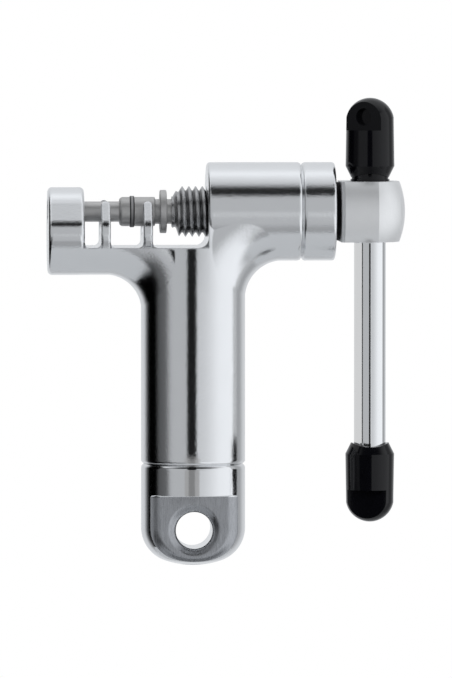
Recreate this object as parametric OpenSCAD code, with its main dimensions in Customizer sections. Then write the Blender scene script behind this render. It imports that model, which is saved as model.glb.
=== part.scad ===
// Bicycle chain tool with a sliding tommy bar
// X runs along the drive screw from anvil to head, Z runs up the handle, Y points away from the front
// The origin is the middle of the hanging hole

/* [Handle] */
// Outside diameter of the handle and of the end cap
handle_d = 16.4; // [15.6:0.1:18]
// Height of the screw axis above the hanging hole
axis_h = 50; // [48:0.5:60]
// Height of the joint line between handle and end cap
joint_h = 10.3; // [9.5:0.1:12]
// Length over which the handle draws in below the screw axis
neck_len = 13; // [10:0.5:15]
// How much the handle radius draws in at the screw axis
neck_draw = 0.6; // [0.5:0.05:0.8]

/* [Turned grooves] */
// Edge radius on both sides of a turned groove
groove_edge_r = 0.65; // [0.5:0.05:0.9]
// Depth of a turned groove
groove_depth = 0.42; // [0.2:0.02:0.45]

/* [End cap] */
// Lowest point of the cap below the hanging hole
foot_drop = 5.7; // [5.2:0.1:7]
// Corner radius of the foot
foot_corner_r = 5.5; // [4.5:0.1:6]
// Radius of the shallow dome under the foot
foot_dome_r = 14; // [12:0.5:20]
// Thickness of the foot across its two flats
foot_thick = 9; // [7:0.1:11]
// Height of the ledges above the flats
ledge_h = 5.6; // [4.6:0.1:6.5]
// Fillet radius between flat and ledge
ledge_fillet_r = 0.5; // [0.3:0.1:0.8]
// Diameter of the hanging hole
hang_hole_d = 5.8; // [4:0.1:6.4]
// Edge break of the hanging hole
hang_hole_break = 0.25; // [0.1:0.05:0.4]
// Major diameter of the cap thread
cap_thread_d = 10; // [9:0.5:11]
// Length of the cap thread
cap_thread_len = 6.5; // [5:0.5:9]
// Depth of the spare pin socket in the cap
socket_depth = 3; // [2:0.5:4]
// Diameter of the store for the spare pin
store_d = 4.4; // [4:0.1:6]
// Free room above the spare pin
store_room = 1.5; // [0.5:0.5:3]

/* [Arm and cradle] */
// Radius of the arm below the cradle
arm_r = 7.7; // [7.2:0.1:8]
// Depth of the arm centre below the screw axis
arm_drop = 2.25; // [2:0.05:2.6]
// Radius of the narrower upper half of anvil and forks
roof_r = 6.1; // [5.8:0.1:6.4]
// Slope of the flank between both halves, as its run over its rise
flank_slope = 0.75; // [0.65:0.05:0.85]
// Radius where the flank meets the side
flank_r = 3.7; // [3:0.1:4]
// Depth of the cradle floor below the screw axis
floor_drop = 5.5; // [5.2:0.1:6]
// Distance of the outer anvil face from the handle axis
anvil_out = 22.9; // [22:0.1:26]
// Thickness of the anvil along the screw
anvil_len = 5.7; // [5:0.1:6.5]
// Edge radius of the anvil
anvil_edge_r = 0.7; // [0.4:0.05:0.8]
// Diameter of the rivet hole through the anvil
rivet_hole_d = 4.2; // [3.8:0.1:5]
// Width of the slot between the anvil and the outer fork
slot_w = 2.55; // [2.3:0.05:2.9]
// Spacing of the two forks
fork_pitch = 6.6; // [6.2:0.1:7]
// Thickness of a fork
fork_t = 1.5; // [1.2:0.1:1.8]
// Height of the fork tips above the screw axis
fork_tip_h = 1.7; // [1.2:0.1:2.2]
// Edge radius of a fork
fork_edge_r = 0.4; // [0.2:0.05:0.5]
// Width of the roller valley in the forks
valley_w = 8; // [7.8:0.1:8.4]
// Fillet radius at the fork roots and the anvil root
root_r = 0.8; // [0.5:0.1:1]

/* [Barrel] */
// Diameter of the barrel
barrel_d = 15.5; // [14.8:0.1:16]
// Distance of the barrel's inner face from the handle axis
barrel_in = 2.15; // [1.8:0.05:2.2]
// Distance of the barrel's outer face from the handle axis
barrel_out = 22.3; // [21:0.1:24]
// Place of the turned groove on the barrel
barrel_groove_x = 17; // [16:0.1:18]
// Edge radius of both barrel faces
barrel_edge_r = 0.5; // [0.3:0.05:0.8]
// Fillet radius between cradle floor and barrel face
barrel_root_r = 1.5; // [1:0.1:2]

/* [Blends] */
// Radius of the blend between handle and arm
arm_blend_r = 5.7; // [5:0.1:7]
// Radius of the blend between handle and barrel
barrel_blend_r = 6.1; // [5:0.1:7]
// How much slimmer the blends are than the arm and the barrel
blend_slim = 0.2; // [0.15:0.05:0.4]

/* [Screw] */
// Major diameter of the screw thread
screw_d = 7.94; // [7.5:0.02:8.4]
// Length of the taper at the screw's inner end
screw_taper = 1.25; // [0.8:0.05:1.5]
// How much the taper takes off the screw's radius
screw_taper_drop = 1.6; // [0.5:0.05:1.7]
// Diameter of the plain tail behind the thread
tail_d = 7; // [6.6:0.1:7.4]
// Length of the tail between the thread and the barrel's outer face
tail_relief = 0.4; // [0.2:0.1:1]
// Depth of the swivel bore in the screw's inner end
swivel_depth = 7; // [5:0.5:9]

/* [Pin] */
// Diameter of the drive pin
pin_d = 3.2; // [2.8:0.1:3.4]
// Length of the drive pin
pin_len = 12; // [11:0.5:13]
// How far the pin tip stands in the rivet hole
pin_entry = 1.8; // [1:0.1:3]
// Length of the pin in front of its carrier
pin_out = 7.35; // [6.8:0.05:7.8]
// Small edge break of the pin ends, the flange and the ring
small_break = 0.2; // [0.1:0.05:0.3]

/* [Pin carrier] */
// Diameter of the carrier nose
nose_d = 4.6; // [4.3:0.1:5]
// Rounding of the nose face
nose_round_r = 0.6; // [0.4:0.05:0.65]
// Length of the nose
nose_len = 5.65; // [5.2:0.05:6.2]
// Diameter of the necks and the swivel shank
neck_d = 3.9; // [3.5:0.1:4.2]
// Diameter of the flange
flange_d = 6.8; // [6:0.1:7.2]
// Thickness of the flange
flange_t = 1.05; // [0.8:0.05:1.2]
// Length of the neck between nose and flange
neck_gap = 0.75; // [0.5:0.05:0.9]
// Length of the neck between flange and screw
shank_gap = 0.8; // [0.6:0.1:1]
// Distance from the nose face to the ring
ring_offset = 1.65; // [1.4:0.05:2]
// Width of the ring
ring_w = 0.75; // [0.5:0.05:1]
// How far the ring stands out of the nose
ring_proud = 0.175; // [0.1:0.025:0.3]
// Depth of the ring's seat in the nose
ring_seat_depth = 0.25; // [0.2:0.025:0.3]

/* [Head] */
// Diameter of the head
head_d = 15; // [14:0.1:15.4]
// Distance between the flats above and below the head
head_flats = 9.5; // [9:0.1:10]
// Length of the head
head_len = 10.3; // [10:0.05:12]
// Radius of the ball that shapes the shoulder of the head
head_ball_r = 8; // [7.8:0.1:9]
// Distance of the ball's middle from the outer end
head_ball_off = 7.3; // [6.8:0.1:7.4]
// Radius of the domed end
head_dome_r = 13; // [12:0.5:18]
// Edge break of the inner face
head_break = 0.5; // [0.2:0.05:0.6]
// Wall between the tail and the domed end
head_end_wall = 1.9; // [1.6:0.1:2.4]
// Width of the washer round the tail
washer_rim = 1.1; // [0.6:0.05:1.2]
// Thickness of the washer
washer_t = 0.75; // [0.5:0.05:0.8]

/* [Lever] */
// Diameter of the lever bar
bar_d = 5; // [4.5:0.1:5.4]
// Distance of the lever bar from the head's inner face
bar_inset = 4.8; // [4.6:0.05:5]
// Free length of the bar between both caps
bar_free = 41.25; // [32:0.25:60]
// Depth of the bar in each cap
bar_seat = 6.5; // [5:0.5:6.5]
// Length of a lever cap
cap_len = 12.5; // [12.2:0.1:16]
// Largest diameter of a lever cap
cap_d = 7.7; // [7.2:0.1:8.4]
// Diameter of a lever cap where its dome begins
cap_top_d = 7.46; // [7:0.02:7.5]
// Height of the dome
cap_dome_h = 3.05; // [2.6:0.05:3.4]
// Wall of a lever cap at its mouth
cap_mouth_wall = 0.48; // [0.45:0.01:0.6]
// Height of the cone's end above the mouth
cap_cone_h = 1.75; // [1.5:0.05:2.5]
// Radius of the hollow across the mouth
cap_notch_r = 7.2; // [6.8:0.1:8]
// Depth of the hollow across the mouth
cap_notch_depth = 0.6; // [0.3:0.05:0.65]
// Height of the collar below the upper cap's mouth
collar_h = 0.6; // [0.5:0.05:1]
// Wall of the collar
collar_wall = 0.4; // [0.35:0.01:0.42]
// Height of the lip at the collar's end
collar_lip_h = 0.3; // [0.2:0.05:0.4]
// How far the lip stands out of the collar
collar_lip_out = 0.18; // [0.1:0.02:0.3]
// Distance of the flat from the cap's axis
cap_flat_off = 2.05; // [1.8:0.05:2.4]
// Length of the flat from the tip
cap_flat_len = 5.1; // [4.6:0.1:5.6]
// Diameter of the recess in the flat
cap_recess_d = 2.75; // [2:0.05:3]
// Depth of the recess
cap_recess_depth = 1; // [0.5:0.1:1.4]
// Distance of the recess from the tip
cap_recess_off = 3; // [2.6:0.1:3.4]
// Turn of the upper cap's flat to the left
upper_turn = 33; // [0:1:90]
// Turn of the lower cap's flat to the left
lower_turn = 17; // [0:1:90]

/* [Clearances] */
// Radial clearance of threads, swivel and sliding bar
run_clear = 0.05; // [0.02:0.01:0.1]
// Radial clearance of pieces that are pressed or glued
seat_clear = 0.01; // [0.01:0.01:0.03]
// Gap between faces that stop against each other
stop_gap = 0.02; // [0.01:0.01:0.05]
// Gap between washer and barrel with the screw fully in
washer_gap = 0.05; // [0.02:0.01:0.1]
// How far a blend starts below the surface that it leaves
tuck = 0.05; // [0.03:0.01:0.1]

/* [Hidden] */
$fn = 96;

handle_r = handle_d / 2;
barrel_r = barrel_d / 2;
screw_r = screw_d / 2;
tail_r = tail_d / 2;
pin_r = pin_d / 2;
bar_r = bar_d / 2;
nose_r = nose_d / 2;
ring_seat_r = nose_r - ring_seat_depth;
arm_h = axis_h - arm_drop;
floor_h = axis_h - floor_drop;
anvil_in = anvil_out - anvil_len;
fork_out = anvil_in - slot_w;
barrel_neck_r = barrel_r - groove_depth;

// Straight cuts reach this far past the solid that they cut
past = handle_d;

// Small steps keep nested round surfaces of the body from coinciding
arm_step = 0.02;
fork_step = 0.04;

// Outward directions at both ends of the rounding between flank and side of anvil and forks
roof_n = [1, flank_slope] / norm([1, flank_slope]);
side_share = (roof_r - flank_r) / (arm_r - flank_r);
side_lean = sqrt(1 - side_share * side_share);
side_n = side_share * roof_n + side_lean * [roof_n[1], -roof_n[0]];

// Centre of that rounding from the arm centre, and length of the straight flank
side_c = (arm_r - flank_r) * side_n;
flank_len = (arm_r - flank_r) * side_lean;

// Pin and carrier stations along the screw axis
pin_tip_x = -anvil_in - pin_entry;
nose_face_x = pin_tip_x + pin_out;
nose_end_x = nose_face_x + nose_len;
flange_x = nose_end_x + neck_gap;
shank_x = flange_x + flange_t;
ring_x = nose_face_x + ring_offset;
screw_in = shank_x + shank_gap;
swivel_end_x = screw_in + swivel_depth;

// Head stations along the screw axis
head_in = barrel_out + washer_gap + washer_t;
head_out = head_in + head_len;
bar_x = head_in + bar_inset;
tail_end_x = head_out - head_end_wall;
washer_x = head_in - washer_t;
thread_end_x = barrel_out - tail_relief;

// Lever stations up the bar
collar_end_h = axis_h + head_flats / 2 + stop_gap;
upper_mouth_h = collar_end_h + collar_h;
lower_mouth_h = collar_end_h - bar_free;
bar_start_h = lower_mouth_h - bar_seat;

// Spare pin stands in the socket of the end cap
cap_top_h = joint_h + cap_thread_len;
spare_h = cap_top_h - socket_depth;
store_top_h = spare_h + pin_len + store_room;

// Outside of a rounded corner at the origin, in the quarter given by the two signs
module corner(r, sx, sy) {
    difference() {
        translate([min(0, sx * r), min(0, sy * r)]) square(r);
        translate([sx * r, sy * r]) circle(r);
    }
}

// Half section of a turned bar from a to b with an edge radius at each end
module bar_section(r, a, b, edge_a, edge_b) {
    difference() {
        translate([0, a]) square([r, b - a]);
        if (edge_a > 0) translate([r, a]) corner(edge_a, -1, 1);
        if (edge_b > 0) translate([r, b]) corner(edge_b, -1, -1);
    }
}

// Turns a solid of revolution about Z into one about the screw axis, at height h
module on_screw(h = axis_h) {
    translate([0, 0, h]) rotate([0, 90, 0]) children();
}

// Extrudes an outline in X and Z through the whole depth
module through_y() {
    rotate([90, 0, 0]) linear_extrude(2 * past, center = true) children();
}

// Extrudes an outline in Y and Z along X
module along_x(a, b) {
    translate([a, 0, 0]) rotate([90, 0, 90]) linear_extrude(b - a) children();
}

// Handle with its drawn-in top and the rounded edge at the joint line
module handle() {
    draw_r = (neck_len * neck_len + neck_draw * neck_draw) / (2 * neck_draw);
    neck_h = axis_h - neck_len;
    rotate_extrude() {
        bar_section(handle_r, joint_h, neck_h, groove_edge_r, 0);
        translate([0, joint_h]) square([handle_r - groove_depth, groove_edge_r]);
        intersection() {
            translate([0, neck_h]) square([handle_r, neck_len]);
            translate([handle_r - draw_r, neck_h]) circle(draw_r, $fn = 720);
        }
    }
}

// Quarter bend between the handle and a level bar whose lowest line is at height low
module bend(tube_r, blend_r, low) {
    centre = [-handle_r - blend_r + tuck, 0, low - blend_r + tuck];
    translate(centre) rotate([90, 0, 0]) rotate_extrude(angle = 90)
        translate([blend_r + tube_r, 0]) circle(tube_r);
}

// Part of a turned bar along X that lies inside an outline in Y and Z
module bar_part(r, a, b, edge, outline) {
    intersection() {
        rotate([0, 90, 0]) rotate_extrude() bar_section(r, a, b, edge, edge);
        along_x(a - edge, b + edge) polygon(outline);
    }
}

// Flank of anvil or fork on the back: side rounding, straight flank and the core behind it
module flank(a, b, edge, step) {
    side_wedge = [[0, 0], past * side_n, past * (side_n + roof_n), past * roof_n];
    translate([0, side_c[0], side_c[1]]) bar_part(flank_r - step, a, b, edge, side_wedge);
    rotate([atan2(roof_n[1], roof_n[0]) - 90, 0, 0]) translate([0, flank_len, roof_r - flank_r])
        rotate([90, 0, 0]) linear_extrude(flank_len)
        rotate(-90) mirror([1, 0]) bar_section(flank_r - step, a, b, edge, edge);
    along_x(a, b) polygon([[0, 0], side_c, (roof_r - flank_r) * roof_n]);
}

// Anvil or fork blank: a slab across the arm with a narrower upper half and rounded edges
module slab(a, b, edge, step) {
    flip = [[-1, 0], [0, 1]];
    deep = [past * side_n[0], -past];
    low_wedge = [[0, 0], past * side_n, deep, flip * deep, past * flip * side_n];
    top_wedge = [[0, 0], past * roof_n, [0, 2 * past], past * flip * roof_n];
    translate([0, 0, arm_h]) {
        bar_part(arm_r - step, a, b, edge, low_wedge);
        bar_part(roof_r - step, a, b, edge, top_wedge);
        flank(a, b, edge, step);
        mirror([0, 1, 0]) flank(a, b, edge, step);
    }
}

// Outline of one fork from below the floor to its rounded tip
module fork_outline(x) {
    tip_r = fork_t / 2;
    translate([x, floor_h - root_r]) square([fork_t, floor_drop + root_r + fork_tip_h - tip_r]);
    translate([x + tip_r, axis_h + fork_tip_h - tip_r]) circle(tip_r);
}

// One fork with its roller valley
module fork(x) {
    difference() {
        intersection() {
            slab(x, x + fork_t, fork_edge_r, fork_step);
            through_y() fork_outline(x);
        }
        translate([x - past, 0, axis_h]) rotate([0, 90, 0]) cylinder(d = valley_w, h = 2 * past);
        translate([x - past, -valley_w / 2, axis_h]) cube([2 * past, valley_w, past]);
    }
}

// Concave fillets on the cradle floor, at the anvil, the forks and the barrel
module roots() {
    intersection() {
        through_y() for (x = [-anvil_in, fork_t - fork_out, fork_pitch + fork_t - fork_out])
            translate([x, floor_h - root_r]) union() {
                square([root_r, root_r]);
                translate([0, root_r]) corner(root_r, 1, 1);
            }
        on_screw(arm_h) cylinder(r = arm_r - fork_step, h = 4 * past, center = true);
    }
    intersection() {
        through_y() for (x = [-fork_out, fork_pitch - fork_out])
            translate([x - root_r, floor_h - root_r]) union() {
                square([root_r, root_r]);
                translate([root_r, root_r]) corner(root_r, -1, 1);
            }
        on_screw(arm_h) cylinder(r = arm_r - fork_step, h = 4 * past, center = true);
    }
    intersection() {
        through_y() translate([barrel_in, floor_h]) {
            corner(barrel_root_r, -1, 1);
            translate([-barrel_root_r, -root_r]) square([barrel_root_r + root_r, root_r]);
        }
        on_screw(arm_h) cylinder(r = arm_r - fork_step, h = 4 * past, center = true);
    }
}

// Barrel with its turned groove
module barrel() {
    on_screw() rotate_extrude() {
        bar_section(barrel_r, barrel_in, barrel_groove_x, barrel_edge_r, groove_edge_r);
        bar_section(barrel_r, barrel_groove_x, barrel_out, groove_edge_r, barrel_edge_r);
        translate([0, barrel_groove_x - groove_edge_r])
            square([barrel_neck_r, 2 * groove_edge_r]);
    }
}

// Everything below the cradle floor and to the right of the barrel's inner face
module trunk() {
    difference() {
        union() {
            handle();
            bend(arm_r - blend_slim, arm_blend_r, arm_h - arm_r);
            mirror([1, 0, 0]) bend(barrel_r - blend_slim, barrel_blend_r, axis_h - barrel_r);
            on_screw(arm_h) translate([0, 0, -anvil_in - anvil_edge_r])
                cylinder(r = arm_r - arm_step, h = anvil_in + anvil_edge_r + barrel_in);
        }
        translate([-2 * past, -past, floor_h]) cube([2 * past + barrel_in, 2 * past, past]);
    }
    barrel();
}

module body() {
    color("#c9ccd0") difference() {
        union() {
            trunk();
            slab(-anvil_out, -anvil_in, anvil_edge_r, 0);
            for (x = [-fork_out, fork_pitch - fork_out]) fork(x);
            roots();
        }
        on_screw() translate([0, 0, -anvil_out - past])
            cylinder(d = rivet_hole_d, h = past + anvil_len + slot_w / 2);
        on_screw() translate([0, 0, barrel_in - barrel_root_r])
            cylinder(r = screw_r + run_clear, h = 2 * past);
        translate([0, 0, joint_h - past])
            cylinder(r = cap_thread_d / 2 + run_clear, h = past + cap_thread_len + 2 * run_clear);
        translate([0, 0, joint_h]) cylinder(d = store_d, h = store_top_h - joint_h);
    }
}

// Half section of the foot: side, corner arc and shallow dome
module foot_section() {
    dome_c = [0, foot_dome_r - foot_drop];
    rise = sqrt(pow(foot_dome_r - foot_corner_r, 2) - pow(handle_r - foot_corner_r, 2));
    corner_c = [handle_r - foot_corner_r, dome_c[1] - rise];
    touch = dome_c + (corner_c - dome_c) * foot_dome_r / (foot_dome_r - foot_corner_r);
    translate([0, corner_c[1]])
        bar_section(handle_r, 0, joint_h - corner_c[1], 0, groove_edge_r);
    translate([0, joint_h - groove_edge_r]) square([handle_r - groove_depth, groove_edge_r]);
    intersection() {
        translate([0, -past]) square([past, 2 * past]);
        union() {
            translate(corner_c) circle(foot_corner_r);
            intersection() {
                translate(dome_c) circle(foot_dome_r, $fn = 240);
                polygon([[0, corner_c[1]], corner_c, touch, [touch[0], -past], [0, -past]]);
            }
        }
    }
}

// Space in front of one flat, below its ledge
module flat_cut() {
    along_x(-past, past) difference() {
        translate([foot_thick / 2, ledge_h - past]) square(past);
        translate([foot_thick / 2, ledge_h]) corner(ledge_fillet_r, 1, -1);
    }
}

module end_cap() {
    hole_r = hang_hole_d / 2;
    color("#b4b8bd") difference() {
        union() {
            rotate_extrude() foot_section();
            translate([0, 0, joint_h - groove_edge_r])
                cylinder(d = cap_thread_d, h = cap_thread_len + groove_edge_r);
        }
        flat_cut();
        mirror([0, 1, 0]) flat_cut();
        rotate([90, 0, 0]) cylinder(r = hole_r, h = 2 * past, center = true);
        for (turn = [90, -90]) rotate([turn, 0, 0]) translate([0, 0, foot_thick / 2 - hang_hole_break])
            cylinder(r1 = hole_r, r2 = hole_r + 2 * hang_hole_break, h = 2 * hang_hole_break);
        translate([0, 0, spare_h]) cylinder(r = pin_r + run_clear, h = past);
    }
}

// Half section of a plain pin with both ends broken
module pin_section(start) {
    polygon([
        [0, start], [pin_r - small_break, start], [pin_r, start + small_break],
        [pin_r, start + pin_len - small_break], [pin_r - small_break, start + pin_len], [0, start + pin_len]
    ]);
}

module spare_pin() {
    color("#7d8084") rotate_extrude() pin_section(spare_h);
}

module drive_pin() {
    color("#7d8084") on_screw() rotate_extrude() pin_section(pin_tip_x);
}

module pin_carrier() {
    color("#77797c") on_screw() difference() {
        rotate_extrude() {
            difference() {
                bar_section(nose_r, nose_face_x, nose_end_x, nose_round_r, small_break);
                translate([ring_seat_r, ring_x]) square([nose_d, ring_w]);
            }
            translate([0, nose_end_x - small_break])
                square([neck_d / 2, swivel_end_x - nose_end_x + small_break]);
            bar_section(flange_d / 2, flange_x, shank_x, small_break, small_break);
        }
        translate([0, 0, pin_tip_x]) cylinder(r = pin_r + seat_clear, h = pin_len);
    }
}

module pin_ring() {
    color("#141414") on_screw() difference() {
        rotate_extrude()
            bar_section(nose_r + ring_proud, ring_x, ring_x + ring_w, small_break, small_break);
        translate([0, 0, ring_x - past]) cylinder(r = ring_seat_r + seat_clear, h = 2 * past);
    }
}

module spindle() {
    color("#55585b") difference() {
        on_screw() difference() {
            rotate_extrude() polygon([
                [0, screw_in], [screw_r - screw_taper_drop, screw_in], [screw_r, screw_in + screw_taper],
                [screw_r, thread_end_x + tail_r - screw_r], [tail_r, thread_end_x],
                [tail_r, tail_end_x], [0, tail_end_x]
            ]);
            translate([0, 0, screw_in - past])
                cylinder(r = neck_d / 2 + run_clear, h = past + swivel_depth);
        }
        translate([bar_x, 0, axis_h]) cylinder(r = bar_r + run_clear, h = 2 * past, center = true);
    }
}

module head_washer() {
    color("#141414") on_screw() translate([0, 0, washer_x]) difference() {
        cylinder(r = tail_r + washer_rim, h = washer_t);
        translate([0, 0, -past]) cylinder(r = tail_r + seat_clear, h = 2 * past);
    }
}

// Half section of the head: plain cylinder, ball shoulder and domed end
module head_section() {
    head_r = head_d / 2;
    ball_x = head_out - head_ball_off;
    end_x = head_out + head_break;
    intersection() {
        polygon([
            [0, head_in], [head_r - head_break, head_in], [head_r, head_in + head_break],
            [head_r, end_x], [0, end_x]
        ]);
        union() {
            translate([0, head_in - head_break]) square([head_d, ball_x - head_in + head_break]);
            translate([0, ball_x]) circle(head_ball_r);
        }
        translate([0, head_out - head_dome_r]) circle(head_dome_r, $fn = 360);
    }
}

module head() {
    color("#b9bcc0") difference() {
        intersection() {
            on_screw() rotate_extrude() head_section();
            translate([head_in - past, -past, axis_h - head_flats / 2])
                cube([3 * past, 2 * past, head_flats]);
        }
        on_screw() translate([0, 0, tail_end_x - past]) cylinder(r = tail_r + seat_clear, h = past);
        translate([bar_x, 0, axis_h]) cylinder(r = bar_r + run_clear, h = 2 * past, center = true);
    }
}

module lever_bar() {
    color("#d5d8dc") translate([bar_x, 0, bar_start_h])
        cylinder(r = bar_r, h = upper_mouth_h + bar_seat - bar_start_h);
}

// Half section of a lever cap, mouth at the origin: cone, slightly drawn side and dome
module cap_section() {
    dome_r = (cap_dome_h * cap_dome_h + cap_top_d * cap_top_d / 4) / (2 * cap_dome_h);
    draw = (cap_d - cap_top_d) / 2 / (cap_len - cap_dome_h - cap_cone_h);
    over_h = cap_len + cap_dome_h;
    intersection() {
        polygon([
            [0, 0], [bar_r + cap_mouth_wall, 0], [cap_d / 2, cap_cone_h],
            [cap_d / 2 - draw * (over_h - cap_cone_h), over_h], [0, over_h]
        ]);
        union() {
            square([cap_d, cap_len - dome_r]);
            translate([0, cap_len - dome_r]) circle(dome_r);
        }
    }
}

// Lever cap with its blind bore, mouth at the origin and tip up, its flat turned to the front left
module lever_cap(turn) {
    difference() {
        union() {
            difference() {
                rotate_extrude() cap_section();
                translate([0, 0, cap_notch_depth - cap_notch_r]) rotate([90, 0, 0])
                    cylinder(r = cap_notch_r, h = 2 * past, center = true);
            }
            children();
        }
        translate([0, 0, -past]) cylinder(r = bar_r + seat_clear, h = past + bar_seat);
        rotate(-turn) translate([-past, -past - cap_flat_off, cap_len - cap_flat_len])
            cube([2 * past, past, past]);
    }
}

// Collar that carries the upper cap on the head
module collar() {
    collar_r = bar_r + collar_wall;
    lip_top = collar_lip_h - collar_h;
    rotate_extrude() polygon([
        [0, -collar_h], [collar_r + collar_lip_out, -collar_h], [collar_r + collar_lip_out, lip_top],
        [collar_r, lip_top], [collar_r, cap_cone_h], [0, cap_cone_h]
    ]);
}

module lever_cap_upper() {
    color("#1b1c1e") translate([bar_x, 0, upper_mouth_h]) difference() {
        lever_cap(upper_turn) collar();
        rotate(-upper_turn) translate([0, cap_recess_depth - cap_flat_off, cap_len - cap_recess_off])
            rotate([90, 0, 0]) cylinder(d = cap_recess_d, h = past);
    }
}

module lever_cap_lower() {
    color("#1b1c1e") translate([bar_x, 0, lower_mouth_h]) mirror([0, 0, 1]) lever_cap(lower_turn);
}

body();
end_cap();
spare_pin();
drive_pin();
pin_carrier();
pin_ring();
spindle();
head_washer();
head();
lever_bar();
lever_cap_upper();
lever_cap_lower();
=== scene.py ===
"""Looks of a bicycle chain tool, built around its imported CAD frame."""

import logging
import math
from dataclasses import dataclass, field
from enum import Enum

import bmesh
import bpy
from mathutils import Matrix, Vector


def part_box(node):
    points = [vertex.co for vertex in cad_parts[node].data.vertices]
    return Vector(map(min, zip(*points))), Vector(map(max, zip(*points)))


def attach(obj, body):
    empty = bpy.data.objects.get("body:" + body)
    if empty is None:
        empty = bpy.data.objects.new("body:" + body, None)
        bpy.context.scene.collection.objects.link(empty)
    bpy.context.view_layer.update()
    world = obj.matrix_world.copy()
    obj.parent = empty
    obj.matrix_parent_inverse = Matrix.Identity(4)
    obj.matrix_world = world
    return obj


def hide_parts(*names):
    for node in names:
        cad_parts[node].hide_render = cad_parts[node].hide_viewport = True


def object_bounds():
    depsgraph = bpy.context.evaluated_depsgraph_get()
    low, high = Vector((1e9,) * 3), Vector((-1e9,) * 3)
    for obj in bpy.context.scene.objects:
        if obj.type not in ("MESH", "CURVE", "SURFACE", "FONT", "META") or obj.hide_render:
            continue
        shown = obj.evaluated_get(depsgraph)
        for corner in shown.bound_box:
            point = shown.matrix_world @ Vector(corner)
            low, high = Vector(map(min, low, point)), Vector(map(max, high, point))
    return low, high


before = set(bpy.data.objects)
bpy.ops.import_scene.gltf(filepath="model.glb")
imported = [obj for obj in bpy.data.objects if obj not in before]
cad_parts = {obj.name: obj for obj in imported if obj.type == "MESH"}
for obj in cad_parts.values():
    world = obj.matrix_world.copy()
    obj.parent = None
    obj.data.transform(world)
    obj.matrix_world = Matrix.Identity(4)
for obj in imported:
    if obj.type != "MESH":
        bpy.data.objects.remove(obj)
CAD_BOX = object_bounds()

LOG = logging.getLogger("chain_tool")
MM = 0.001
INCH = 25.4
FULL_TURN = 360.0
PHOTO_HEIGHT = 678

Colour = tuple[float, float, float]
Place = tuple[float, float, float]
Span = tuple[float, float]
Stop = tuple[float, float]
Socket = bpy.types.NodeSocket
Node = bpy.types.Node

WHITE: Colour = (1.0, 1.0, 1.0)
BLACK: Colour = (0.0, 0.0, 0.0)
FADE_IN: Span = (0.0, 1.0)
FADE_OUT: Span = (1.0, 0.0)
NOISE_SPAN: Span = (0.3, 0.7)  # nearly all values of a noise texture lie in it
EDGE_SAMPLES = 6


class Axis(Enum):
    """Directions in the tool's frame."""

    SCREW = (1.0, 0.0, 0.0)
    HANDLE = (0.0, 0.0, 1.0)


class Facing(Enum):
    """Side that the front of a card faces, as its turn about the upright in radians."""

    FRONT = 0.0
    RIGHT = math.pi / 2
    BACK = math.pi


def scaled(colour: Colour, share: float) -> Colour:
    """Makes a colour lighter or darker by a share."""
    return tuple(channel * share for channel in colour)


def shades(colour: Colour, spread: float) -> tuple[Colour, Colour]:
    """Gives the darkest and the lightest tone of a colour that strays by a share to both sides."""
    return scaled(colour, 1.0 - spread), scaled(colour, 1.0 + spread)


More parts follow.
